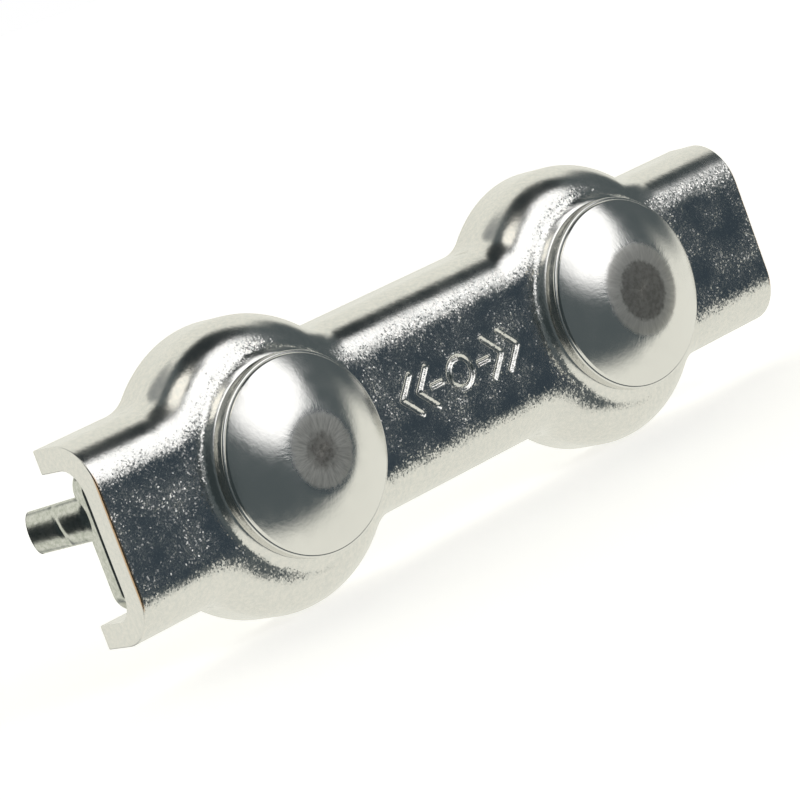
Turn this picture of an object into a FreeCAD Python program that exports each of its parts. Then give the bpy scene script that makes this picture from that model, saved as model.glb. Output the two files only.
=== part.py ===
import FreeCAD, Part
import math
import os

# Duplex wire rope clip for two ropes lying side by side. Sizes are in millimetres.
# X runs along the clip, -Y points to the bolt heads, +Y to the nuts, Z runs across the clip.
# The origin is the middle of the body's flat outer web face, between the two bolts.

# Body: a channel pressed from one sheet, with a round lobe at each bolt
sheet = 1.6                      # thickness of the sheet
body_length = 59.4
body_depth = 5.2                 # outer web face to the flange tips
straight_half_width = 6.55       # middle to outer flange face, between and beyond the lobes
lobe_radius = 9.6                # outer flange face of a lobe
lobe_shift = -0.7                # lobe centre from its bolt axis, along X
lobe_blend = 2.5                 # hollow radius where a lobe runs into the straight flange
bend_radius = 2.8                # outer radius of the bend from web to flange
bolt_spacing = 30.2
pad_height = 0.45                # raised seat under each bolt head
pad_top_radius = 6.5
pad_slope_run = 0.7              # width of the slope round the seat
square_hole = 5.3

# Bolts: M5 mushroom-head bolts with a square neck
head_radius = 6.5
rim_height = 0.85
dome_height = 1.8                # of the full ball above the rim, before the crown is flattened
crown_radius = 2.4
neck_side = 5.2
neck_length = 2.2
shank_radius = 2.45
shank_length = 16.0              # from under the head to the tip
tip_chamfer = 0.6

# Clamp plate: nests between the flanges and presses on the ropes
plate_front = 2.35               # its front face, behind the outer web face
plate_thickness = 1.2
plate_gap = 0.2                  # clearance to the flanges
plate_inset = 0.5                # its ends stop this far inside the body's ends
plate_corner = 1.5
plate_hole_radius = 2.75

# Tab: a narrow tongue bent back from the clamp plate's left end
tab_root_width = 2.95
tab_tip_width = 2.75
tab_offset = 1.65                # middle of the tab above the clip's centre line
tab_reach = 3.5                  # from the plate's back face to the tip, along Y
tab_lean = 20.0                  # degrees that it leans outwards from square
tab_bend_radius = 0.5            # inside radius of its bend

# Nuts: M5 hexagon nuts
nut_flats = 8.0
nut_height = 4.0
nut_bore_radius = 2.52
nut_countersink = 0.4

half_length = body_length / 2
bolt_x = bolt_spacing / 2
plate_back = plate_front + plate_thickness


def point(x, y, z):
    return FreeCAD.Vector(x, y, z)


def save(shape, node):
    shape.exportStep("parts/" + node + ".step")


def arc_through(centre_x, centre_z, radius, start, end, y):
    # Arc in the plane y from one angle to another, both in degrees from +X towards +Z
    points = []
    for angle in (start, (start + end) / 2, end):
        turn = math.radians(angle)
        points.append(point(centre_x + radius * math.cos(turn), y, centre_z + radius * math.sin(turn)))
    return Part.Arc(*points).toShape()


def straight(x1, z1, x2, z2, y):
    return Part.LineSegment(point(x1, y, z1), point(x2, y, z2)).toShape()


def flange_path(offset, reach, y):
    # Upper flange line from -reach to +reach: straights joined to the lobes by hollow arcs
    height = straight_half_width - offset
    radius = lobe_radius - offset
    blend = lobe_blend + offset
    run = math.sqrt((radius + blend) ** 2 - (height + blend) ** 2)
    meet = math.degrees(math.atan2(height + blend, run))
    edges = []
    start_x = -reach
    for centre in (lobe_shift - bolt_x, lobe_shift + bolt_x):
        edges.append(straight(start_x, height, centre - run, height, y))
        edges.append(arc_through(centre - run, height + blend, blend, -90, -meet, y))
        edges.append(arc_through(centre, 0, radius, 180 - meet, meet, y))
        edges.append(arc_through(centre + run, height + blend, blend, 180 + meet, 270, y))
        start_x = centre + run
    edges.append(straight(start_x, height, reach, height, y))
    return edges


def clip_outline(offset, reach, y):
    # Flat face between the upper flange line, its mirror image and two straight ends
    upper = flange_path(offset, reach, y)
    lower = [edge.mirror(point(0, 0, 0), point(0, 0, 1)) for edge in upper]
    height = straight_half_width - offset
    ends = [straight(side * reach, -height, side * reach, height, y) for side in (-1, 1)]
    return Part.Face(Part.Wire(Part.__sortEdges__(upper + lower + ends)))


def channel_block(offset, reach, front, back, radius):
    # Solid block with the clip's outline, its long front edges rounded and its ends left square
    block = clip_outline(offset, reach, front).extrude(point(0, back - front, 0))
    rounded = []
    for edge in block.Edges:
        box = edge.BoundBox
        if box.YMax < front + 0.001 and box.XLength > 0.001:
            rounded.append(edge)
    return block.makeFillet(radius, rounded)


def pressed_seat(centre, top_radius, base_y):
    # Disc raised towards the head by pad_height, with a slope of two equal arcs round it
    bottom = base_y + 0.2
    top = base_y - pad_height
    outer = top_radius + pad_slope_run
    middle_x = top_radius + pad_slope_run / 2
    middle_y = base_y - pad_height / 2
    radius = (pad_height ** 2 + pad_slope_run ** 2) / (4 * pad_height)
    turn = math.asin(pad_slope_run / 2 / radius) / 2
    step_x = radius * math.sin(turn)
    step_y = radius * (1 - math.cos(turn))
    crest = Part.Arc(point(top_radius, top, 0), point(top_radius + step_x, top + step_y, 0),
                     point(middle_x, middle_y, 0)).toShape()
    foot = Part.Arc(point(middle_x, middle_y, 0), point(outer - step_x, base_y - step_y, 0),
                    point(outer, base_y, 0)).toShape()
    edges = [
        Part.LineSegment(point(0, top, 0), point(top_radius, top, 0)).toShape(),
        crest,
        foot,
        Part.LineSegment(point(outer, base_y, 0), point(outer, bottom, 0)).toShape(),
        Part.LineSegment(point(outer, bottom, 0), point(0, bottom, 0)).toShape(),
        Part.LineSegment(point(0, bottom, 0), point(0, top, 0)).toShape(),
    ]
    disc = Part.Face(Part.Wire(edges)).revolve(point(0, 0, 0), point(0, 1, 0), 360)
    disc.translate(point(centre, 0, 0))
    return disc


def make_body():
    body = channel_block(0, half_length, 0, body_depth, bend_radius)
    hollow = channel_block(sheet, half_length + 1, sheet, body_depth + 1, bend_radius - sheet)
    body = body.cut(hollow)
    for centre in (-bolt_x, bolt_x):
        body = body.fuse(pressed_seat(centre, pad_top_radius, 0))
        body = body.cut(pressed_seat(centre, pad_top_radius - pad_slope_run, sheet))
        half = square_hole / 2
        hole = Part.makeBox(square_hole, 4 * sheet, square_hole, point(centre - half, -2 * sheet, -half))
        body = body.cut(hole)
    return body.removeSplitter()


def make_bolt(centre):
    under_head = -pad_height
    rim = under_head - rim_height
    # The dome is part of a ball that meets the rim, cut off flat at the crown
    ball_radius = (head_radius ** 2 + dome_height ** 2) / (2 * dome_height)
    ball_y = rim - dome_height + ball_radius
    middle = (head_radius + crown_radius) / 2
    dome = [point(x, ball_y - math.sqrt(ball_radius ** 2 - x ** 2), 0)
            for x in (crown_radius, middle, head_radius)]
    crown = point(0, dome[0].y, 0)
    foot = point(head_radius, under_head, 0)
    centre_foot = point(0, under_head, 0)
    edges = [
        Part.LineSegment(crown, dome[0]).toShape(),
        Part.Arc(*dome).toShape(),
        Part.LineSegment(dome[2], foot).toShape(),
        Part.LineSegment(foot, centre_foot).toShape(),
        Part.LineSegment(centre_foot, crown).toShape(),
    ]
    head = Part.Face(Part.Wire(edges)).revolve(point(0, 0, 0), point(0, 1, 0), 360)
    half = neck_side / 2
    neck = Part.makeBox(neck_side, neck_length, neck_side, point(-half, under_head, -half))
    plain = shank_length - tip_chamfer
    shank = Part.makeCylinder(shank_radius, plain, point(0, under_head, 0), point(0, 1, 0))
    tip = Part.makeCone(shank_radius, shank_radius - tip_chamfer, tip_chamfer,
                        point(0, under_head + plain, 0), point(0, 1, 0))
    bolt = head.fuse([neck, shank, tip]).removeSplitter()
    bolt.translate(point(centre, 0, 0))
    return bolt


def make_tab():
    # Bent strip seen from the side, then trimmed to a taper across its width
    outer = tab_bend_radius + plate_thickness
    lean = math.radians(tab_lean)
    end_x = -half_length
    bend_x = end_x + outer
    bend_y = plate_front + outer
    turn = math.radians(90 - tab_lean)
    half_turn = turn / 2
    inner = tab_bend_radius
    outer_end = point(bend_x - outer * math.sin(turn), bend_y - outer * math.cos(turn), 0)
    inner_end = point(bend_x - inner * math.sin(turn), bend_y - inner * math.cos(turn), 0)
    outer_mid = point(bend_x - outer * math.sin(half_turn), bend_y - outer * math.cos(half_turn), 0)
    inner_mid = point(bend_x - inner * math.sin(half_turn), bend_y - inner * math.cos(half_turn), 0)
    tip_y = plate_back + tab_reach
    slope = math.tan(lean)
    outer_tip = point(outer_end.x - (tip_y - outer_end.y) * slope, tip_y, 0)
    inner_tip = point(inner_end.x - (tip_y - inner_end.y) * slope, tip_y, 0)
    corners = [
        Part.LineSegment(point(bend_x + 1, plate_front, 0), point(bend_x, plate_front, 0)).toShape(),
        Part.Arc(point(bend_x, plate_front, 0), outer_mid, outer_end).toShape(),
        Part.LineSegment(outer_end, outer_tip).toShape(),
        Part.LineSegment(outer_tip, inner_tip).toShape(),
        Part.LineSegment(inner_tip, inner_end).toShape(),
        Part.Arc(inner_end, inner_mid, point(bend_x, plate_back, 0)).toShape(),
        Part.LineSegment(point(bend_x, plate_back, 0), point(bend_x + 1, plate_back, 0)).toShape(),
        Part.LineSegment(point(bend_x + 1, plate_back, 0), point(bend_x + 1, plate_front, 0)).toShape(),
    ]
    strip = Part.Face(Part.Wire(corners)).extrude(point(0, 0, 2 * tab_root_width))
    strip.translate(point(0, 0, tab_offset - tab_root_width))
    root = tab_root_width / 2
    tip = tab_tip_width / 2
    trapezium = Part.makePolygon([
        point(-2 * half_length, plate_front, tab_offset - root),
        point(-2 * half_length, plate_front, tab_offset + root),
        point(-2 * half_length, tip_y, tab_offset + tip),
        point(-2 * half_length, tip_y, tab_offset - tip),
        point(-2 * half_length, plate_front, tab_offset - root),
    ])
    return strip.common(Part.Face(trapezium).extrude(point(2 * half_length, 0, 0)))


def make_plate():
    # The clip's outline set inwards, cut square at both ends, its four corners rounded
    right = half_length - plate_inset
    outline = clip_outline(sheet + plate_gap, 2 * half_length, plate_front)
    strip = outline.extrude(point(0, plate_thickness, 0))
    window = Part.makeBox(2 * right, 3 * plate_thickness, 4 * lobe_radius,
                          point(-right, plate_front - plate_thickness, -2 * lobe_radius))
    plate = strip.common(window)
    corners = []
    for edge in plate.Edges:
        box = edge.BoundBox
        at_end = abs(abs(box.Center.x) - right) < 0.001
        if at_end and box.YLength > 0.9 * plate_thickness and box.ZLength < 0.001:
            corners.append(edge)
    plate = plate.makeFillet(plate_corner, corners)
    for centre in (-bolt_x, bolt_x):
        hole = Part.makeCylinder(plate_hole_radius, 3 * plate_thickness,
                                 point(centre, plate_front - plate_thickness, 0), point(0, 1, 0))
        plate = plate.cut(hole)
    return plate.fuse(make_tab()).removeSplitter()


def make_nut(centre):
    # Hexagon with two flats square to Z, its outer corners chamfered on both faces
    corner_radius = nut_flats / math.sqrt(3)
    corners = []
    for step in range(7):
        angle = math.radians(60 * step)
        corners.append(point(corner_radius * math.cos(angle), 0, corner_radius * math.sin(angle)))
    prism = Part.Face(Part.makePolygon(corners)).extrude(point(0, nut_height, 0))
    rise = (corner_radius - nut_flats / 2) * math.tan(math.radians(30))
    slope = nut_height / math.tan(math.radians(30))
    face_radius = nut_flats / 2
    for base, direction in ((0, 1), (nut_height, -1)):
        cone = Part.makeCone(face_radius, face_radius + slope, nut_height,
                             point(0, base, 0), point(0, direction, 0))
        prism = prism.common(cone)
    bore = Part.makeCylinder(nut_bore_radius, nut_height, point(0, 0, 0), point(0, 1, 0))
    wide = nut_bore_radius + nut_countersink
    sinks = [
        Part.makeCone(wide, nut_bore_radius, nut_countersink, point(0, 0, 0), point(0, 1, 0)),
        Part.makeCone(wide, nut_bore_radius, nut_countersink, point(0, nut_height, 0), point(0, -1, 0)),
    ]
    nut = prism.cut(bore)
    for sink in sinks:
        nut = nut.cut(sink)
    nut.translate(point(centre, plate_back, 0))
    return nut


os.makedirs("parts", exist_ok=True)
save(make_body(), "channel_body")
save(make_plate(), "clamp_plate")
for side, centre in (("left", -bolt_x), ("right", bolt_x)):
    save(make_bolt(centre), side + "_bolt")
    save(make_nut(centre), side + "_nut")
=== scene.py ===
import math

import bmesh
import bpy
import numpy as np
from mathutils import Matrix, Vector


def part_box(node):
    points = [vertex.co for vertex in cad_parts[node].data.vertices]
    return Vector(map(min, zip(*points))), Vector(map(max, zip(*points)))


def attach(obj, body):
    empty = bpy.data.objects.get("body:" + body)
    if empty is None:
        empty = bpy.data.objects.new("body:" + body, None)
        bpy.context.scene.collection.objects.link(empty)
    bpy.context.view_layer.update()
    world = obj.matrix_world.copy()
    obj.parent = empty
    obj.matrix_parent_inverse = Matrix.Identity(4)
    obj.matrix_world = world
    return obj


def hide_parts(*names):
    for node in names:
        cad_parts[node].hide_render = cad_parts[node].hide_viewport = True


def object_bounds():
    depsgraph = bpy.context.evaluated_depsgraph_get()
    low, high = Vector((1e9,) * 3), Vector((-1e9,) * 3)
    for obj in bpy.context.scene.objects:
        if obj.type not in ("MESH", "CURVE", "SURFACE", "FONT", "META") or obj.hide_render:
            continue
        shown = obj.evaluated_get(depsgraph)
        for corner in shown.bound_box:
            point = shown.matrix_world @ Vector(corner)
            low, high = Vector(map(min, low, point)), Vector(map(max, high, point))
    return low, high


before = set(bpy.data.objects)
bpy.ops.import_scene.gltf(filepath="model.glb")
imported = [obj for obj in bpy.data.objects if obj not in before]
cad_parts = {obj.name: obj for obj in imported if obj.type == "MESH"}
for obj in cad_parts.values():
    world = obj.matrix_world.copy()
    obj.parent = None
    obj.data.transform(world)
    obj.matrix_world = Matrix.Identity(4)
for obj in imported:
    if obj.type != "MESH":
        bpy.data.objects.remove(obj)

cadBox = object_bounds()
mm = 0.001
print("frame loaded:", ", ".join(sorted(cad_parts)))


# ---- helpers ----

def boxMm(node):
    low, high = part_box(node)
    return np.array(low) / mm, np.array(high) / mm


def srgb(code):
    # sRGB hex colour to the linear values that shaders use
    values = [int(code[i:i + 2], 16) / 255 for i in (1, 3, 5)]
    return [v / 12.92 if v <= 0.04045 else ((v + 0.055) / 1.055) ** 2.4 for v in values]


def smoothStep(x, low, high):
    # 0 below low, 1 above high, and the cubic 3t^2 - 2t^3 between them
    t = np.clip((x - low) / (high - low), 0, 1)
    return t * t * (3 - 2 * t)


def quadGrid(rows, cols, closeRows=False, closeCols=False):
    # Index quads of a grid of points stored row by row
    r = np.arange(rows if closeRows else rows - 1)
    c = np.arange(cols if closeCols else cols - 1)
    i, j = np.meshgrid(r, c, indexing="ij")
    i2, j2 = (i + 1) % rows, (j + 1) % cols
    quads = np.stack([i * cols + j, i * cols + j2, i2 * cols + j2, i2 * cols + j], -1)
    return quads.reshape(-1, 4)


def signedVolume(points, faces):
    # Sum of the signed tetrahedra from the origin to each face's fan of triangles
    total = 0.0
    for size in {len(f) for f in faces}:
        block = np.array([f for f in faces if len(f) == size])
        for k in range(1, size - 1):
            a, b, c = points[block[:, 0]], points[block[:, k]], points[block[:, k + 1]]
            total += np.einsum("ij,ij->i", a, np.cross(b, c)).sum() / 6
    return total


def makePiece(name, points, faces, body, node, material):
    # A closed mesh from points in millimetres, its faces turned outwards, riding on a body
    points = np.asarray(points, float)
    faces = [list(map(int, f)) for f in faces]
    if signedVolume(points, faces) < 0:
        faces = [f[::-1] for f in faces]
    mesh = bpy.data.meshes.new(name)
    mesh.from_pydata((points * mm).tolist(), [], faces)
    mesh.validate()
    mesh.polygons.foreach_set("use_smooth", np.ones(len(mesh.polygons), bool))
    mesh.materials.append(material)
    piece = bpy.data.objects.new(name, mesh)
    bpy.context.scene.collection.objects.link(piece)
    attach(piece, body)
    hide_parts(node)
    print(f"{name}: {len(points)} points, {len(faces)} faces")
    return piece


def softenEdges(piece, width, angle, segments=2):
    # Breaks the sharp edges by a small rounding, as tumbling and plating do
    bevel = piece.modifiers.new("brokenEdges", "BEVEL")
    bevel.width = width * mm
    bevel.segments = segments
    bevel.limit_method = "ANGLE"
    bevel.angle_limit = math.radians(angle)
    bevel.use_clamp_overlap = True
    bevel.harden_normals = True


# ---- materials ----

def addNode(tree, kind, settings=None, links=None):
    # One node, with attributes or socket values from settings and incoming links by socket
    node = tree.nodes.new(kind)
    for key, value in (settings or {}).items():
        if isinstance(key, str) and hasattr(node, key):
            setattr(node, key, value)
        else:
            node.inputs[key].default_value = value
    for key, source in (links or {}).items():
        tree.links.new(source, node.inputs[key])
    return node


def newMaterial(name):
    material = bpy.data.materials.new(name)
    material.use_nodes = True
    tree = material.node_tree
    shader = tree.nodes["Principled BSDF"]
    place = addNode(tree, "ShaderNodeTexCoord").outputs["Object"]
    return material, tree, shader, place


def noise(tree, place, sizeMm, detail, roughness=0.5):
    # Noise whose largest features are about sizeMm across
    return addNode(tree, "ShaderNodeTexNoise", {"Scale": 1 / (sizeMm * mm), "Detail": detail,
                   "Roughness": roughness}, {"Vector": place}).outputs["Fac"]


def remap(tree, value, low, high, start, end, kind="LINEAR"):
    # start up to low and end from high on, with a straight line or an S between them
    return addNode(tree, "ShaderNodeMapRange", {"interpolation_type": kind, "From Min": low,
                   "From Max": high, "To Min": start, "To Max": end}, {"Value": value}).outputs["Result"]


def times(tree, first, second):
    return addNode(tree, "ShaderNodeMath", {"operation": "MULTIPLY"}, {0: first, 1: second}).outputs[0]


def vector(tree, operation, settings, links):
    return addNode(tree, "ShaderNodeVectorMath", {"operation": operation, **settings}, links).outputs[0]


def mixColour(tree, share, first, second):
    # The first colour where share is 0 and the second where it is 1, each a hex code or a socket
    node = addNode(tree, "ShaderNodeMix", {"data_type": "RGBA"}, {0: share})
    for index, colour in ((6, first), (7, second)):
        if isinstance(colour, str):
            node.inputs[index].default_value = srgb(colour) + [1]
        else:
            tree.links.new(colour, node.inputs[index])
    return node.outputs[2]


def bump(tree, height, depthMm, links=None):
    # Shading as if the height stood out by depthMm
    return addNode(tree, "ShaderNodeBump", {"Strength": 1.0, "Distance": depthMm * mm},
                   {"Height": height, **(links or {})}).outputs["Normal"]


pressedZincSpec = {
    "light": "#ebe9e5",        # fresh zinc on the smooth faces
    "dark": "#e2e2df",         # colder where the plating is thin
    "waveMm": 2.6,             # slow unevenness left by the press
    "waveDepthMm": 0.02,
    "grainMm": 0.3,            # dents from tumbling
    "grainDepthMm": 0.006,
    "facetMm": 0.1,            # zinc crystals, each a little mirror of its own
    "facetTilt": 0.12,
    "cluster": (0.55, 1.8),    # the crystals' lean, from calm patches to lively ones
    "burnish": 0.08,           # what the die leaves of the lean on the bends and the seats
    "grainFromMm": (-0.25, -0.03),   # behind the seats' tops the crystals come in over this depth
    "grainToMm": (0.1, 0.5),         # and go out again over this depth behind the web's face
    "amber": "#c9a988",
    "amberFromMm": (29.54, 29.66),   # distance from the middle where the amber line comes in
    "amberToMm": (0.12, 0.3),        # depth behind the web's face where it ends
    "roughness": (0.13, 0.24),
}


def tiltFacets(tree, place, normal, cluster, spec):
    # Each crystal leans by the cube of a random vector, so that a few lean a lot and most hardly at all.
    # Off the web's face, on the bends and on the raised seats, the die has rubbed most of that away.
    cells = addNode(tree, "ShaderNodeTexVoronoi", {"Scale": 1 / (spec["facetMm"] * mm), "Randomness": 1.0},
                    {"Vector": place})
    random = vector(tree, "MULTIPLY_ADD", {1: (2, 2, 2), 2: (-1, -1, -1)}, {0: cells.outputs["Color"]})
    squared = vector(tree, "MULTIPLY", {}, {0: random, 1: random})
    cubed = vector(tree, "MULTIPLY", {}, {0: squared, 1: random})
    y = addNode(tree, "ShaderNodeSeparateXYZ", None, {0: place}).outputs["Y"]
    (seatTop, seatFoot), (face, bend) = spec["grainFromMm"], spec["grainToMm"]
    tilt, burnish = spec["facetTilt"], spec["burnish"]
    behind = remap(tree, y, face * mm, bend * mm, tilt, tilt * burnish, "SMOOTHSTEP")
    raised = remap(tree, y, seatTop * mm, seatFoot * mm, burnish, 1.0, "SMOOTHSTEP")
    patchy = times(tree, times(tree, behind, raised), cluster)
    scaled = vector(tree, "SCALE", {}, {0: cubed, "Scale": patchy})
    lean = vector(tree, "ADD", {}, {0: scaled, 1: normal})
    return vector(tree, "NORMALIZE", {}, {0: lean})


def cutEdge(tree, place, colour, spec):
    # The passivated film gathers amber along the sheared ends, just behind the web's face
    split = addNode(tree, "ShaderNodeSeparateXYZ", None, {0: place})
    away = addNode(tree, "ShaderNodeMath", {"operation": "ABSOLUTE"}, {0: split.outputs["X"]}).outputs[0]
    (near, end), (front, back) = spec["amberFromMm"], spec["amberToMm"]
    atEnd = remap(tree, away, near * mm, end * mm, 0.0, 1.0, "SMOOTHSTEP")
    atFront = remap(tree, split.outputs["Y"], front * mm, back * mm, 1.0, 0.0, "SMOOTHSTEP")
    return mixColour(tree, times(tree, atEnd, atFront), colour, spec["amber"])


def pressedZincMaterial(name, spec):
    # Bright zinc plating on pressed and tumbled sheet: a mirror broken up by dents and crystals
    material, tree, shader, place = newMaterial(name)
    broad = noise(tree, place, spec["waveMm"], 3.0)
    dents = noise(tree, place, spec["grainMm"], 2.5, 0.6)
    tone = remap(tree, dents, 0.35, 0.65, 0.0, 1.0)
    colour = mixColour(tree, tone, spec["dark"], spec["light"])
    wave = bump(tree, broad, spec["waveDepthMm"])
    dented = bump(tree, dents, spec["grainDepthMm"], {"Normal": wave})
    cluster = remap(tree, broad, 0.35, 0.68, *spec["cluster"])
    tree.links.new(cutEdge(tree, place, colour, spec), shader.inputs["Base Color"])
    tree.links.new(remap(tree, broad, 0.3, 0.7, *spec["roughness"]), shader.inputs["Roughness"])
    tree.links.new(tiltFacets(tree, place, dented, cluster, spec), shader.inputs["Normal"])
    shader.inputs["Metallic"].default_value = 1.0
    return material


boltZincSpec = {
    "dome": "#e9e8e5",         # smooth cold-headed dome
    "crown": "#d6d4cf",        # dull ring where the heading die let go
    "centre": "#9b9894",       # darker and mottled in the middle
    "crownMm": 2.4,
    "crownBlurMm": 0.5,
    "centreMm": 1.2,
    "centreBlurMm": 0.9,
    "centreShift": (0.0, 0.0),
    "raggedMm": 0.35,          # how far the crown's edge wanders
    "wanderMm": 0.35,
    "headMm": -0.9,            # only what lies in front of this is the head
    "smearMm": 1.6,
    "smearDepthMm": 0.006,
    "grainMm": 0.25,
    "grainDepthMm": 0.004,
    "streakMm": 0.7,
    "streakDepthMm": 0.012,
    "streakTone": (0.76, 1.08),
    "mottle": (0.74, 1.2),
    "roughness": (0.13, 0.22),
    "crownRoughness": 0.42,
}


def flatFrom(tree, place, x, z):
    # The vector from the line through x and z to the point, without its part along the bolt
    centred = vector(tree, "SUBTRACT", {1: (x * mm, 0, z * mm)}, {0: place})
    return vector(tree, "MULTIPLY", {1: (1, 0, 1)}, {0: centred})


def discMask(tree, place, centre, radius, blur, ragged):
    # 1 within radius of the line through centre, 0 beyond the blur, along a ragged line, 0 behind the head
    flat = flatFrom(tree, place, *centre)
    away = addNode(tree, "ShaderNodeVectorMath", {"operation": "LENGTH"}, {0: flat}).outputs["Value"]
    wobble = noise(tree, place, boltZincSpec["wanderMm"], 3.0)
    shift = addNode(tree, "ShaderNodeMath", {"operation": "MULTIPLY_ADD", 1: ragged * mm,
                    2: -0.5 * ragged * mm}, {0: wobble}).outputs[0]
    edge = addNode(tree, "ShaderNodeMath", {"operation": "ADD"}, {0: away, 1: shift}).outputs[0]
    mask = remap(tree, edge, (radius - blur / 2) * mm, (radius + blur / 2) * mm, 1.0, 0.0, "SMOOTHSTEP")
    y = addNode(tree, "ShaderNodeSeparateXYZ", None, {0: place}).outputs["Y"]
    onHead = addNode(tree, "ShaderNodeMath", {"operation": "LESS_THAN", 1: boltZincSpec["headMm"] * mm},
                     {0: y})
    return times(tree, mask, onHead.outputs[0])


def radialStreaks(tree, place, centreX):
    # Noise that depends on the direction from the axis much more than on the distance, so it draws spokes
    spoke = vector(tree, "NORMALIZE", {}, {0: flatFrom(tree, place, centreX, 0)})
    drift = vector(tree, "MULTIPLY_ADD", {1: (90, 90, 90)}, {0: place, 2: spoke})
    return addNode(tree, "ShaderNodeTexNoise", {"Scale": 11.0, "Detail": 3.0, "Roughness": 0.65},
                   {"Vector": drift}).outputs["Fac"]


def tinted(tree, code, fac, low, high, tones):
    # A colour made darker and lighter by noise
    tone = remap(tree, fac, low, high, *tones)
    return vector(tree, "SCALE", {0: srgb(code)}, {"Scale": tone})


def boltZincMaterial(name, spec, boltX):
    # Zinc on a cold-headed dome: a soft mirror, dull and mottled towards the crown
    material, tree, shader, place = newMaterial(name)
    shiftX, shiftZ = spec["centreShift"]
    crown = discMask(tree, place, (boltX, 0), spec["crownMm"], spec["crownBlurMm"], spec["raggedMm"])
    centre = discMask(tree, place, (boltX + shiftX, shiftZ), spec["centreMm"], spec["centreBlurMm"],
                      3 * spec["raggedMm"])
    spokes = radialStreaks(tree, place, boltX)
    grain = noise(tree, place, spec["grainMm"], 2.0)
    smear = noise(tree, place, spec["smearMm"], 4.0, 0.6)
    streaked = tinted(tree, spec["crown"], spokes, 0.34, 0.62, spec["streakTone"])
    mottled = tinted(tree, spec["centre"], grain, 0.36, 0.64, spec["mottle"])
    ring = mixColour(tree, crown, spec["dome"], streaked)
    tree.links.new(mixColour(tree, centre, ring, mottled), shader.inputs["Base Color"])
    satin = remap(tree, smear, 0.35, 0.65, *spec["roughness"])
    rough = addNode(tree, "ShaderNodeMix", {"data_type": "FLOAT", 3: spec["crownRoughness"]},
                    {0: crown, 2: satin})
    tree.links.new(rough.outputs[0], shader.inputs["Roughness"])
    smearBump = bump(tree, smear, spec["smearDepthMm"])
    grainBump = bump(tree, grain, spec["grainDepthMm"], {"Normal": smearBump})
    near = discMask(tree, place, (boltX, 0), spec["crownMm"] + spec["streakMm"], 2 * spec["streakMm"], 0.0)
    streakBump = bump(tree, spokes, spec["streakDepthMm"], {"Strength": near, "Normal": grainBump})
    tree.links.new(streakBump, shader.inputs["Normal"])
    shader.inputs["Metallic"].default_value = 1.0
    return material


# The plate and its tab take darker zinc colours than the clip: painted shade, standing in for the shadow the
# flanges cast on the plate
shadedPlateSpec = {**pressedZincSpec, "light": "#d9dad4", "dark": "#c0c3bb", "facetTilt": 0.07}
nutSpec = {**pressedZincSpec, "facetTilt": 0.04, "waveDepthMm": 0.008}
sheetZinc = pressedZincMaterial("brightZincOnPressedSheet", pressedZincSpec)
shadedPlateZinc = pressedZincMaterial("brightZincOnStampedPlateWithPaintedShade", shadedPlateSpec)
nutZinc = pressedZincMaterial("brightZincOnTurnedNut", nutSpec)
print("materials made")


# ---- channel body ----

bodyLow, bodyHigh = boxMm("channel_body")
plateLow, plateHigh = boxMm("clamp_plate")
boltXs = {side: float(sum(b[0] for b in boxMm(side + "_bolt")) / 2) for side in ("left", "right")}

channel = {
    "sheet": 1.6,
    "straightHalf": 6.55,      # half width of the ends and the waist
    "lobeShift": -0.7,         # each lobe's middle from its bolt
    "lobeBlend": 2.5,          # hollow radius between a lobe and the straight flange
    "innerSpare": 0.15,        # keeps the inside of the bend clear of the plate
    "bend": 3.0,               # depth of the bend from web to flange
    "bendReach": 3.3,          # how far the bend eases into the web
    "padHeight": 0.45,
    "padTop": 6.38,
    "padSlope": 0.8,
    "squareHole": 5.3,
    "waveDepth": 0.01,         # the web is never quite flat
    "coarse": 0.155,           # steps along the clip, and finer ones where the mark is pressed in
    "fine": 0.095,
    "fineReach": 6.4,
    "innerStep": 0.3,
    "outerRows": (8, 18, 22, 52),   # up a flange, round a bend, out to the holes' line and between them
    "innerRows": (5, 9, 10, 14),
    "brokenEdge": 0.09,
}
channel["length"] = bodyHigh[0] - bodyLow[0]
channel["depth"] = bodyHigh[1]
channel["lobe"] = bodyHigh[2]


def planLine(x, offset):
    # The flange line moved inwards by offset, at x along the clip: its z and its outward normal.
    # Near a bolt it is a circle, then a hollow arc, then a straight, and the normal turns with it.
    lobe, blend, half = channel["lobe"], channel["lobeBlend"], channel["straightHalf"]
    run = math.sqrt((lobe + blend) ** 2 - (half + blend) ** 2)
    centres = np.array([boltXs["left"], boltXs["right"]]) + channel["lobeShift"]
    t = x - np.where(np.abs(x - centres[0]) < np.abs(x - centres[1]), centres[0], centres[1])
    reach = (lobe - offset) * run / (lobe + blend)
    onLobe = np.abs(t) <= reach
    onBlend = ~onLobe & (np.abs(t) < run)
    nx = np.where(onLobe, t / (lobe - offset), 0.0)
    nx = np.where(onBlend, np.sign(t) * (run - np.abs(t)) / (blend + offset), nx)
    nz = np.sqrt(1 - nx ** 2)
    z = np.where(onLobe, (lobe - offset) * nz, half - offset)
    z = np.where(onBlend, half + blend - (blend + offset) * nz, z)
    return z, nx, nz


def stations(low, high, stops, step):
    # Places from low to high that include every stop, about step apart in between
    marks = sorted({low, high} | {s for s in stops if low < s < high})
    parts = [np.linspace(a, b, max(1, round((b - a) / step(0.5 * (a + b)))) + 1)[:-1]
             for a, b in zip(marks[:-1], marks[1:])]
    return np.concatenate(parts + [[high]])


stampedMark = {
    "strokes": [],             # straight strokes as x1, z1, x2, z2
    "ring": (0.0, 0.0, 1.0),   # middle x, z and radius
    "depth": 0.13,
    "halfWidth": 0.14,
    "lip": 0.03,
}
for side in (-1, 1):
    for tipX in (5.4, 3.9):
        for up in (-1, 1):
            stampedMark["strokes"].append((side * tipX, 0.0, side * (tipX - 1.25), up * 1.35))
    stampedMark["strokes"].append((side * 2.65, 0.0, side * 1.75, 0.0))


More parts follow.
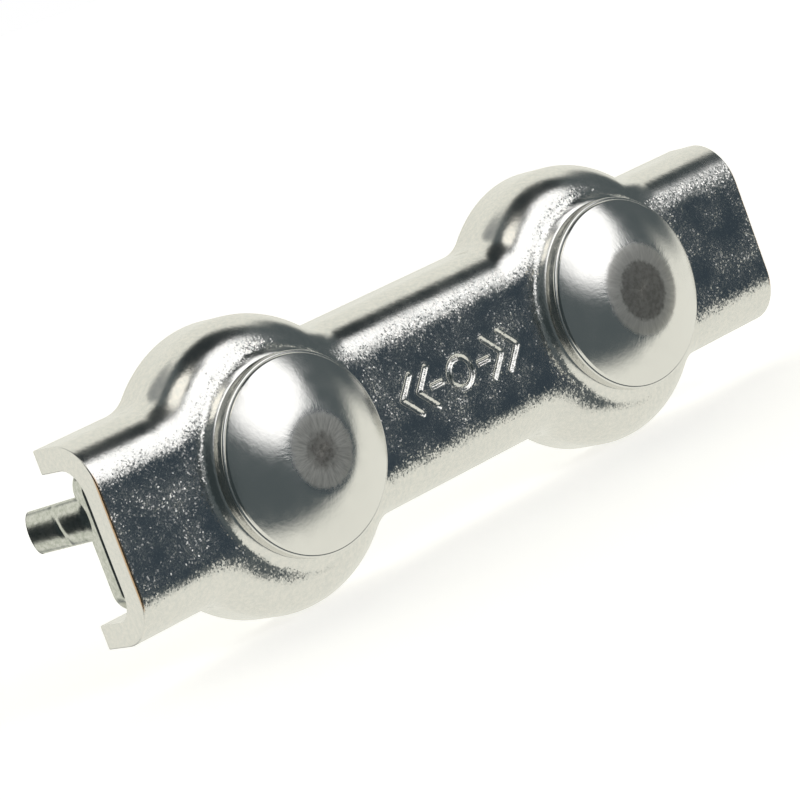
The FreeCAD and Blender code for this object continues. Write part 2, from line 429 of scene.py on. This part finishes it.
def markDepth(x, z):
    # Depth of the stamped mark: a flat-bottomed groove along each stroke with a raised lip beside it
    ringX, ringZ, ringR = stampedMark["ring"]
    nearest = np.abs(np.hypot(x - ringX, z - ringZ) - ringR)
    for x1, z1, x2, z2 in stampedMark["strokes"]:
        dx, dz = x2 - x1, z2 - z1
        along = np.clip(((x - x1) * dx + (z - z1) * dz) / (dx * dx + dz * dz), 0, 1)
        nearest = np.minimum(nearest, np.hypot(x - x1 - along * dx, z - z1 - along * dz))
    width = stampedMark["halfWidth"]
    groove = 1 - smoothStep(nearest, 0.45 * width, 1.25 * width)
    lip = np.exp(-((nearest - 1.7 * width) / (0.45 * width)) ** 2)
    return stampedMark["depth"] * groove - stampedMark["lip"] * lip


def seatHeight(x, z, topRadius):
    # 1 on the round seat under a bolt head, falling in an S to 0 across the slope round it
    near = np.minimum(*[np.hypot(x - boltXs[side], z) for side in ("left", "right")])
    return 1 - smoothStep(near, topRadius, topRadius + channel["padSlope"])


def channelSurface(x, offset, spare, rows, core):
    # One face of the sheet as a grid: up the upper flange, round the bend, across the web, and back.
    # offset is 0 for the outer face and the sheet's thickness for the inner face.
    # spare makes the inside of the bend a little rounder than the sheet's thickness alone would.
    # Also returned: how far each column faces forwards, 0 on the flanges and 1 on the web.
    depthRows, bendRows, sideRows, coreRows = rows
    bend, reach = channel["bend"] + spare, channel["bendReach"] + spare
    z, nx, nz = planLine(x, reach)
    flangeX, flangeZ = x + reach * nx, z + reach * nz
    y = np.linspace(channel["depth"], bend, depthRows + 1)[:-1]
    turn = np.linspace(0, math.pi / 2, bendRows + 1)[:-1]
    inward = np.concatenate([np.full(len(y), offset), reach - (reach - offset) * np.cos(turn)])
    back = np.concatenate([y, bend - (bend - offset) * np.sin(turn)])
    upperX = flangeX[:, None] - inward * nx[:, None]
    upperZ = flangeZ[:, None] - inward * nz[:, None]
    upperY = np.broadcast_to(back, upperX.shape)
    sideZ = z[:, None] + (core - z[:, None]) * np.linspace(0, 1, sideRows + 1)[:-1]
    coreZ = np.broadcast_to(np.linspace(core, -core, coreRows + 1), (len(x), coreRows + 1))
    webZ = np.concatenate([sideZ, coreZ, -sideZ[:, ::-1]], 1)
    webX = np.broadcast_to(x[:, None], webZ.shape)
    webY = np.full(webZ.shape, offset)
    gridX = np.concatenate([upperX, webX, upperX[:, ::-1]], 1)
    gridY = np.concatenate([upperY, webY, upperY[:, ::-1]], 1)
    gridZ = np.concatenate([upperZ, webZ, -upperZ[:, ::-1]], 1)
    facing = np.concatenate([np.full(len(y), 0.0), np.sin(turn)])
    facing = np.concatenate([facing, np.ones(webZ.shape[1]), facing[::-1]])
    return np.stack([gridX, gridY, gridZ], -1), facing


def stepAlong(x):
    return channel["fine"] if abs(x) < channel["fineReach"] else channel["coarse"]


def makeChannel():
    half = channel["length"] / 2
    hole = channel["squareHole"] / 2
    stops = [boltXs[side] + sign * hole for side in boltXs for sign in (-1, 1)]
    stops += [-channel["fineReach"], channel["fineReach"]]
    outerX = stations(-half, half, stops, stepAlong)
    innerX = stations(-half, half, stops, lambda x: channel["innerStep"])
    outer, facing = channelSurface(outerX, 0.0, 0.0, channel["outerRows"], hole)
    inner, innerFacing = channelSurface(innerX, channel["sheet"], channel["innerSpare"],
                                        channel["innerRows"], hole)
    px, pz = outer[..., 0], outer[..., 2]
    # two crossed sine waves bent by a third make the unevenness; the seat is level again
    wave = np.sin(px * 0.9 + 0.6 * np.sin(pz * 0.7)) * np.cos(pz * 0.55 + 1.1)
    wave += 0.6 * np.sin(px * 0.37 + pz * 0.8)
    outer[..., 1] += channel["waveDepth"] * (1 + wave * 0.5) * facing
    outer[..., 1] += (-channel["padHeight"] - outer[..., 1]) * seatHeight(px, pz, channel["padTop"])
    outer[..., 1] += markDepth(px, pz) * (facing > 0.99) * (np.abs(px) < channel["fineReach"])
    hollow = seatHeight(inner[..., 0], inner[..., 2], channel["padTop"] - channel["padSlope"])
    inner[..., 1] -= channel["padHeight"] * hollow * (innerFacing > 0.99)

    points = np.concatenate([outer.reshape(-1, 3), inner.reshape(-1, 3)])
    faces, rims, start = [], [], 0
    for grid, xs in ((outer, outerX), (inner, innerX)):
        rows, cols = grid.shape[:2]
        index = np.arange(rows * cols).reshape(rows, cols) + start
        quads = quadGrid(rows, cols) + start
        middle = grid.reshape(-1, 3)[quads - start].mean(1)
        inHole = np.zeros(len(quads), bool)
        holeRims = []
        coreCols = np.flatnonzero(np.abs(grid[rows // 2, :, 2]) <= hole + 1e-6)
        for side in boltXs:
            inHole |= (np.abs(middle[:, 0] - boltXs[side]) < hole) & (np.abs(middle[:, 2]) < hole)
            across = np.flatnonzero(np.abs(xs - boltXs[side]) <= hole + 1e-6)
            square = index[across[0]:across[-1] + 1, coreCols[0]:coreCols[-1] + 1]
            holeRims.append((square[:, 0], square[-1], square[:, -1][::-1], square[0][::-1]))
        quads = quads[~inHole]
        faces.append(quads if grid is outer else quads[:, ::-1])
        rims.append({"ends": (index[0], index[-1]), "tips": (index[:, 0], index[:, -1]), "holes": holeRims})
        start += rows * cols
    faces = [list(f) for block in faces for f in block]
    outerRim, innerRim = rims
    faces.append(list(outerRim["ends"][0][::-1]) + list(innerRim["ends"][0]))
    faces.append(list(outerRim["ends"][1]) + list(innerRim["ends"][1][::-1]))
    faces.append(list(outerRim["tips"][0]) + list(innerRim["tips"][0][::-1]))
    faces.append(list(outerRim["tips"][1][::-1]) + list(innerRim["tips"][1]))
    for outerHole, innerHole in zip(outerRim["holes"], innerRim["holes"]):
        for a, b in zip(outerHole, innerHole):
            faces.append(list(a[::-1]) + list(b))
    piece = makePiece("channelBodyShell", points, faces, "clip_body", "channel_body",
                      sheetZinc)
    softenEdges(piece, channel["brokenEdge"], 50)


makeChannel()


# ---- bolts ----

bolt = {
    "pitch": 0.8,
    "threadDepth": 0.46,
    "root": 0.25,              # shares of half a pitch: flat root, then flank, and the crest is the rest
    "flank": 0.62,
    "headRadius": 6.5,
    "rimHeight": 0.85,
    "rimRound": 0.16,
    "domeHeight": 1.8,
    "crownEase": (0.9, 0.8),   # how far inside and outside the crown's edge its slope fades in
    "neckSide": 5.2,
    "neckCorner": 0.35,
    "neckLength": 2.2,
    "neckChamfer": (0.15, 0.12),    # along and across
    "shankRadius": 2.45,
    "tipChamfer": 0.6,
    "underRound": 0.1,         # rounding of the head's back edge
    "seatRadius": 3.9,         # the head's back is flat from its edge in to here
    "relief": 0.25,            # how far the neck steps in before the thread
    "crownRings": 90,
    "ringsPerTurn": 18,        # rows of points for each turn of a thread
    "around": 160,
}

crowns = {
    "left": {"radius": 2.4, "finish": {"crownMm": 2.4, "centreMm": 1.1}},
    "right": {"radius": 2.9, "finish": {
        "crownMm": 3.1, "crown": "#cfcdc8", "centreMm": 2.0, "centreBlurMm": 0.4, "centreShift": (0.0, -0.12),
        "centre": "#94928e", "raggedMm": 0.25, "streakTone": (0.86, 1.04), "mottle": (0.85, 1.12)}},
}


def squareRadius(angle, half, corner):
    # Distance from the axis to a square with rounded corners: a high power norm of the two flats
    power = 2 + 6 * half / corner / 4
    return half / (np.abs(np.cos(angle)) ** power + np.abs(np.sin(angle)) ** power) ** (1 / power)


def threadCut(y, angle, pitch, depth):
    # Depth of a right-hand thread: straight flanks between a narrow crest and a wider root
    phase = np.mod(y / pitch - angle / (2 * math.pi), 1.0)
    away = np.abs(phase - 0.5) * 2
    return depth * (1 - np.clip((away - bolt["root"]) / bolt["flank"], 0, 1))


def ringGrid(centre, rings, angle):
    # Points of rings round a bolt's axis, each given as its radii round the turn and its height
    radius = np.array([a for a, b in rings])
    height = np.array([np.full(angle.shape, b) for a, b in rings])
    return np.stack([centre + radius * np.sin(angle), height, radius * np.cos(angle)], -1)


def makeBolt(side):
    low, high = boxMm(side + "_bolt")
    centre, under, tip = boltXs[side], -channel["padHeight"], high[1]
    rim = under - bolt["rimHeight"]
    ball = (bolt["headRadius"] ** 2 + bolt["domeHeight"] ** 2) / (2 * bolt["domeHeight"])
    ballY = rim - bolt["domeHeight"] + ball
    crown = crowns[side]
    head, soft, shank, lip = bolt["headRadius"], bolt["rimRound"], bolt["shankRadius"], bolt["underRound"]
    # the dome's slope is eased towards the crown, just so far that the crown reaches the box's front
    r = np.linspace(0, head, bolt["crownRings"])
    slopes = r / np.sqrt(ball ** 2 - r ** 2)
    dome = ballY - np.sqrt(ball ** 2 - r ** 2)
    inside, outside = bolt["crownEase"]
    ease = 1 - smoothStep(r, crown["radius"] - inside, crown["radius"] + outside)
    lost = np.concatenate([[0], np.cumsum(0.5 * ((ease * slopes)[1:] + (ease * slopes)[:-1]) * np.diff(r))])
    y = dome + min(1.0, (low[1] - dome[0]) / lost[-1]) * (lost[-1] - lost)
    keep = r < head - soft
    # rings of the head from the crown, over its edge and in to the neck
    turn = np.linspace(0, math.pi / 2, 7)
    edgeR = head - soft + soft * np.sin(turn)
    edgeY = rim + soft * 0.75 * (1 - np.cos(turn))
    sideY = np.linspace(rim + soft, under - lip, 6)[1:]
    ringR = np.concatenate([r[keep], edgeR, np.full(len(sideY), head), head - lip * (1 - np.cos(turn[1:])),
                            np.linspace(head - 2 * lip, bolt["seatRadius"], 8)])
    ringY = np.concatenate([y[keep], edgeY, sideY, under - lip + lip * np.sin(turn[1:]), np.full(8, under)])
    angle = np.linspace(0, 2 * math.pi, bolt["around"], endpoint=False)
    rings = [(np.full(angle.shape, a), b) for a, b in zip(ringR[1:], ringY[1:])]
    square = squareRadius(angle, bolt["neckSide"] / 2, bolt["neckCorner"])
    neckEnd = under + bolt["neckLength"]
    along, across = bolt["neckChamfer"]
    for yy in np.linspace(under, neckEnd - along, 5):
        rings.append((square, yy))
    rings.append((square - across, neckEnd))
    rings.append((np.full(angle.shape, shank - bolt["relief"]), neckEnd + 0.01))
    threadTop = neckEnd + bolt["relief"]
    rows = int((tip - threadTop) / bolt["pitch"] * bolt["ringsPerTurn"])
    shankY = np.linspace(threadTop, tip, rows)
    cut = threadCut(shankY[:, None], angle, bolt["pitch"], bolt["threadDepth"])
    cut *= smoothStep(shankY, threadTop - 0.2, threadTop + 0.6)[:, None]
    chamfer = shank - np.clip(shankY - (tip - bolt["tipChamfer"]), 0, None)
    shankR = np.minimum(shank - cut, chamfer[:, None])
    rings += list(zip(shankR, shankY))
    grid = ringGrid(centre, rings, angle)
    count = len(angle)
    points = np.concatenate([grid.reshape(-1, 3), [[centre, ringY[0], 0], [centre, tip, 0]]])
    faces = [list(f) for f in quadGrid(len(rings), count, closeCols=True)]
    first, last = len(points) - 2, len(points) - 1
    base = (len(rings) - 1) * count
    faces += [[first, (i + 1) % count, i] for i in range(count)]
    faces += [[last, base + i, base + (i + 1) % count] for i in range(count)]
    finish = {**boltZincSpec, **crown["finish"]}
    material = boltZincMaterial(side + "BrightZincOnHeadedBolt", finish, centre)
    piece = makePiece(side + "BoltTurned", points, faces, "clip_body", side + "_bolt", material)
    piece.data.set_sharp_from_angle(angle=math.radians(38))


for side in boltXs:
    makeBolt(side)


# ---- nuts ----

nut = {
    "flats": 8.0,
    "cornerAngle": 30,         # degrees, chamfer of the six corners
    "bore": 2.52,
    "countersink": 0.4,
    "clearance": 0.05,         # between the threads of nut and bolt
    "around": 144,
}


def makeNut(side):
    low, high = boxMm(side + "_nut")
    front, back, centre = low[1], high[1], boltXs[side]
    angle = np.linspace(0, 2 * math.pi, nut["around"], endpoint=False)
    third = math.pi / 3
    # distance to a hexagon: half the flats over the cosine of the angle from the nearest flat's middle
    hexagon = nut["flats"] / 2 / np.cos(np.mod(angle + third / 2, third) - third / 2)
    slope = 1 / math.tan(math.radians(nut["cornerAngle"]))
    faceRadius = nut["flats"] / 2
    rise = (nut["flats"] / math.sqrt(3) - faceRadius) / slope
    wide = nut["bore"] + nut["countersink"]
    steps = np.linspace(0, rise * 1.05, 12)
    rings = []
    for a in np.linspace(wide, faceRadius, 6):
        rings.append((np.full(angle.shape, a), front))
    for s in steps[1:]:
        rings.append((np.minimum(hexagon, faceRadius + s * slope), front + s))
    for s in steps[::-1]:
        rings.append((np.minimum(hexagon, faceRadius + s * slope), back - s))
    for a in np.linspace(faceRadius, wide, 6)[1:]:
        rings.append((np.full(angle.shape, a), back))
    boreRows = int((back - front) / bolt["pitch"] * bolt["ringsPerTurn"])
    for yy in np.linspace(back, front, boreRows)[1:-1]:
        cut = threadCut(yy, angle, bolt["pitch"], bolt["threadDepth"])
        wall = bolt["shankRadius"] + nut["clearance"] - cut
        sink = wide - min(yy - front, back - yy)
        rings.append((np.maximum(wall, sink), yy))
    grid = ringGrid(centre, rings, angle)
    faces = quadGrid(len(rings), len(angle), closeRows=True, closeCols=True)
    piece = makePiece(side + "NutHexagon", grid.reshape(-1, 3), faces, side + "_nut_body", side + "_nut",
                      nutZinc)
    piece.data.set_sharp_from_angle(angle=math.radians(32))


for side in boltXs:
    makeNut(side)


# ---- clamp plate ----

plate = {
    "gap": 0.2,
    "corner": 1.5,
    "thickness": 1.2,
    "holeRadius": 2.75,
    "brokenEdge": 0.22,
    "sideStep": 0.25,
    "tabRoot": 2.95,           # width where it leaves the plate
    "tabTip": 2.75,
    "tabMiddle": 1.65,         # above the clip's middle
    "tabLean": 20.0,           # degrees outwards from square
    "tabBend": 0.5,
    "creaseAt": 1.5,           # along the tab from the end of its bend
    "creaseSlant": 0.2,
    "creaseDepth": 0.05,
    "creaseWidth": 0.16,
}
plate["front"] = plateLow[1]
plate["right"] = plateHigh[0]


def plateOutline():
    # Closed line round the plate with its outward normals: corners as arcs, sides on the flange line
    right, corner = plate["right"], plate["corner"]
    offset = channel["sheet"] + plate["gap"]
    half = channel["straightHalf"] - offset
    side = stations(-right + corner, right - corner, [], lambda x: plate["sideStep"])
    z, nx, nz = planLine(side, offset)
    turn = np.linspace(0, math.pi / 2, 15)[1:]
    arcX, arcZ = right - corner + corner * np.sin(turn), half - corner + corner * np.cos(turn)
    end = np.linspace(half - corner, -(half - corner), 20)[1:-1]
    px = np.concatenate([side, arcX, np.full(len(end), right)])
    pz = np.concatenate([z, arcZ, end])
    qx = np.concatenate([nx, np.sin(turn), np.ones(len(end))])
    qz = np.concatenate([nz, np.cos(turn), np.zeros(len(end))])
    # the lower side runs back under the upper one, and the left end goes up again
    px2 = np.concatenate([side[::-1], -arcX, np.full(len(end), -right)])
    pz2 = np.concatenate([-z[::-1], -arcZ, -end])
    qx2 = np.concatenate([nx[::-1], -np.sin(turn), -np.ones(len(end))])
    qz2 = np.concatenate([-nz[::-1], -np.cos(turn), np.zeros(len(end))])
    # the lower right corner follows the right end, and the upper left one follows the left end
    back = np.linspace(math.pi / 2, 0, 15)[:-1]
    sine, cosine = np.sin(back), np.cos(back)
    lowerRight = (right - corner + corner * sine, -(half - corner) - corner * cosine, sine, -cosine)
    upperLeft = (-(right - corner) - corner * sine, half - corner + corner * cosine, -sine, cosine)
    parts = zip((px, pz, qx, qz), lowerRight, (px2, pz2, qx2, qz2), upperLeft)
    return [np.concatenate(values) for values in parts]


def makePlate():
    front, thick, soft = plate["front"], plate["thickness"], plate["brokenEdge"]
    loops = [plateOutline()]
    angle = np.linspace(0, 2 * math.pi, 96, endpoint=False)
    for side in boltXs:
        loops.append([boltXs[side] + plate["holeRadius"] * np.sin(angle), plate["holeRadius"] * np.cos(angle),
                      -np.sin(angle), -np.cos(angle)])
    turn = np.linspace(0, math.pi / 2, 5)
    # from the front face round the broken edge, up the cut side and round the edge at the back
    sine, cosine = soft * (1 - np.sin(turn)), soft * (1 - np.cos(turn))
    inset = np.concatenate([sine, [0, 0], cosine])
    rise = np.concatenate([cosine, [thick * 0.4, thick * 0.6], thick - sine])
    bm = bmesh.new()
    fronts, backs = [], []
    for px, pz, qx, qz in loops:
        ringX = px[None] - inset[:, None] * qx[None]
        ringZ = pz[None] - inset[:, None] * qz[None]
        rows, cols = ringX.shape
        verts = [[bm.verts.new((ringX[i, j] * mm, (front + rise[i]) * mm, ringZ[i, j] * mm))
                  for j in range(cols)] for i in range(rows)]
        for i in range(rows - 1):
            for j in range(cols):
                k = (j + 1) % cols
                bm.faces.new((verts[i][j], verts[i][k], verts[i + 1][k], verts[i + 1][j]))
        fronts += [bm.edges.get((verts[0][j], verts[0][(j + 1) % cols])) for j in range(cols)]
        backs += [bm.edges.get((verts[-1][j], verts[-1][(j + 1) % cols])) for j in range(cols)]
    for rim in (fronts, backs):
        bmesh.ops.triangle_fill(bm, use_beauty=True, edges=rim)
    bmesh.ops.recalc_face_normals(bm, faces=bm.faces)
    points = np.array([v.co[:] for v in bm.verts]) / mm
    bm.verts.index_update()
    faces = [[v.index for v in f.verts] for f in bm.faces]
    bm.free()
    tabPoints, tabFaces = tabSurface()
    faces += [[i + len(points) for i in f] for f in tabFaces]
    # the plate's material carries painted shade from the flanges
    piece = makePiece("clampPlateStamped", np.concatenate([points, tabPoints]), faces, "clamp", "clamp_plate",
                      shadedPlateZinc)
    piece.data.set_sharp_from_angle(angle=math.radians(40))


def tabSurface():
    # A strip that follows the plate, turns back round a small bend and leans outwards.
    # Each ring is a flat oval: half a width across Z and half a thickness along the strip's normal.
    thick, bend = plate["thickness"], plate["tabBend"]
    outer = bend + thick
    lean = math.radians(plate["tabLean"])
    endX = -channel["length"] / 2
    pivotX, pivotY = endX + outer, plate["front"] + outer
    middle = bend + thick / 2
    total = math.pi / 2 - lean
    turn = np.linspace(0, total, 12)
    tipY = plateHigh[1]
    arcX, arcY = pivotX - middle * np.sin(turn), pivotY - middle * np.cos(turn)
    normalX, normalY = -np.sin(turn), -np.cos(turn)
    outY = pivotY - outer * math.cos(total)
    tangentX, tangentY = -math.sin(lean), math.cos(lean)
    reach = (tipY - outY) / tangentY
    s = np.linspace(0, reach, 100)[1:]
    px = np.concatenate([[pivotX + 1.0], arcX, arcX[-1] + s * tangentX])
    py = np.concatenate([[plate["front"] + thick / 2], arcY, arcY[-1] + s * tangentY])
    nx = np.concatenate([[0], normalX, np.full(len(s), normalX[-1])])
    ny = np.concatenate([[-1], normalY, np.full(len(s), normalY[-1])])
    along = np.concatenate([[0], np.linspace(0, middle * total, 12), middle * total + s])
    width = plate["tabRoot"] + (plate["tabTip"] - plate["tabRoot"]) * along / along[-1]
    angle = np.linspace(0, 2 * math.pi, 48, endpoint=False)
    across = np.cos(angle) * width[:, None] / 2
    z = plate["tabMiddle"] + across
    # a slanting crease on the outside, where the tab was nipped in the tool: a bell curve along the tab
    crease = (along - middle * total)[:, None] - plate["creaseAt"] - plate["creaseSlant"] * across
    groove = plate["creaseDepth"] * np.exp(-(crease / plate["creaseWidth"]) ** 2)
    t = np.sin(angle) * thick / 2 - groove * np.clip(np.sin(angle), 0, 1)
    # the tip is cut square to the bolts, so nothing goes past tipY
    x = px[:, None] + t * nx[:, None]
    y = np.minimum(py[:, None] + t * ny[:, None], tipY)
    grid = np.stack([x, y, z], -1)
    rows, cols = grid.shape[:2]
    points = np.concatenate([grid.reshape(-1, 3), [grid[0].mean(0), grid[-1].mean(0)]])
    faces = [list(f) for f in quadGrid(rows, cols, closeCols=True)]
    base = (rows - 1) * cols
    faces += [[rows * cols, (i + 1) % cols, i] for i in range(cols)]
    faces += [[rows * cols + 1, base + i, base + (i + 1) % cols] for i in range(cols)]
    if signedVolume(points, faces) < 0:
        faces = [f[::-1] for f in faces]
    return points, faces


makePlate()


# ---- studio ----

studio = {
    "azimuth": -39.31,         # degrees round from the front, towards the tab end
    "elevation": 7.61,
    "roll": 20.4,
    "distance": 239.8,         # mm
    "aim": (-3.35, 2.69, -0.32),
    "lens": 166.6,
    "floor": "#f6f5f3",
    "floorGlow": 0.62,         # stands in for the light box under the paper
    "floorDrop": 0.02,
    "floorHalf": 8,            # metres
    "room": "#f0f0e6",         # the walls, wherever no card stands
}


def makeCamera():
    a, e = math.radians(studio["azimuth"]), math.radians(studio["elevation"])
    back = Vector((math.sin(a) * math.cos(e), -math.cos(a) * math.cos(e), math.sin(e)))
    data = bpy.data.cameras.new("studioCamera")
    data.lens = studio["lens"]
    data.sensor_width = 36
    data.clip_start, data.clip_end = 0.01, 10
    camera = bpy.data.objects.new("studioCamera", data)
    bpy.context.scene.collection.objects.link(camera)
    roll = Matrix.Rotation(math.radians(-studio["roll"]), 3, "Z")
    turn = (-back).to_track_quat("-Z", "Y").to_matrix() @ roll
    eye = Vector(studio["aim"]) * mm + back * studio["distance"] * mm
    camera.matrix_world = Matrix.Translation(eye) @ turn.to_4x4()
    bpy.context.scene.camera = camera


def makeFloor():
    half = studio["floorHalf"]
    z = cadBox[0][2] - studio["floorDrop"] * mm
    corners = [(-half, -half, z), (half, -half, z), (half, half, z), (-half, half, z)]
    mesh = bpy.data.meshes.new("floor")
    mesh.from_pydata(corners, [], [(0, 1, 2, 3)])
    floor = bpy.data.objects.new("floor", mesh)
    bpy.context.scene.collection.objects.link(floor)
    material, _, shader, _ = newMaterial("paleCard")
    shader.inputs["Base Color"].default_value = srgb(studio["floor"]) + [1]
    shader.inputs["Roughness"].default_value = 0.9
    shader.inputs["Emission Color"].default_value = srgb(studio["floor"]) + [1]
    shader.inputs["Emission Strength"].default_value = studio["floorGlow"]
    mesh.materials.append(material)
    floor.visible_glossy = False


# Cards round the object, each painted over those before it: azimuth from +X towards +Y, elevation,
# reach from its middle, width of its soft edge, all in degrees, then its shade and strength
surroundings = {
    "room": (-84, 26, 66, 13, "#545c5e", 1.0),
    "rightRoom": (-2, 18, 18, 14, "#545c5e", 1.0),
    "leftRoom": (172, -8, 20, 10, "#2b3133", 1.0),
    "leftFront": (-148, -2, 34, 12, "#343c3e", 1.0),
    "highLeft": (140, 66, 17, 16, "#9a9d9b", 1.0),
    "beam": (-40, 62, 22, 14, "#2c3234", 1.0),
    "window": (-70, 26, 21, 20, "#ffffff", 1.45),
    "windowRight": (-54, 34, 13, 12, "#ffffff", 1.45),
    "windowBar": (-88, 42, 4, 6, "#3c4344", 1.0),
    "windowBarRight": (-74, 47, 4, 6, "#3c4344", 1.0),
    "farWindow": (-104, 52, 13, 6, "#fbf8ee", 1.3),
    "backTable": (112, -38, 14, 16, "#8f9291", 1.0),
    "web": (-50, -9, 12, 12, "#36414a", 1.0),
}


def makeWorld():
    # A pale room with bright windows and dark cards, painted by direction with soft edges
    world = bpy.data.worlds.new("studioRoom")
    bpy.context.scene.world = world
    world.use_nodes = True
    tree = world.node_tree
    tree.nodes.clear()
    direction = addNode(tree, "ShaderNodeTexCoord").outputs["Generated"]
    colour = addNode(tree, "ShaderNodeRGB")
    colour.outputs[0].default_value = srgb(studio["room"]) + [1]
    current = colour.outputs[0]
    for azimuth, elevation, reach, edge, shade, strength in surroundings.values():
        az, el = math.radians(azimuth), math.radians(elevation)
        middle = (math.cos(az) * math.cos(el), math.sin(az) * math.cos(el), math.sin(el))
        dot = addNode(tree, "ShaderNodeVectorMath", {"operation": "DOT_PRODUCT", 1: middle}, {0: direction})
        outside, inside = (math.cos(math.radians(reach + side * edge / 2)) for side in (1, -1))
        card = remap(tree, dot.outputs["Value"], outside, inside, 0.0, 1.0, "SMOOTHSTEP")
        light = [v * strength for v in srgb(shade)] + [1]
        mix = addNode(tree, "ShaderNodeMix", {"data_type": "RGBA", 7: light}, {0: card, 6: current})
        current = mix.outputs[2]
    room = addNode(tree, "ShaderNodeBackground", {"Strength": 1.0}, {"Color": current})
    plain = addNode(tree, "ShaderNodeBackground", {"Color": (1, 1, 1, 1), "Strength": 1.0})
    path = addNode(tree, "ShaderNodeLightPath")
    both = addNode(tree, "ShaderNodeMixShader", None, {0: path.outputs["Is Camera Ray"], 1: room.outputs[0],
                   2: plain.outputs[0]})
    addNode(tree, "ShaderNodeOutputWorld", None, {"Surface": both.outputs[0]})


makeCamera()
makeFloor()
makeWorld()
bpy.context.scene.view_settings.view_transform = "Standard"
print("studio ready")
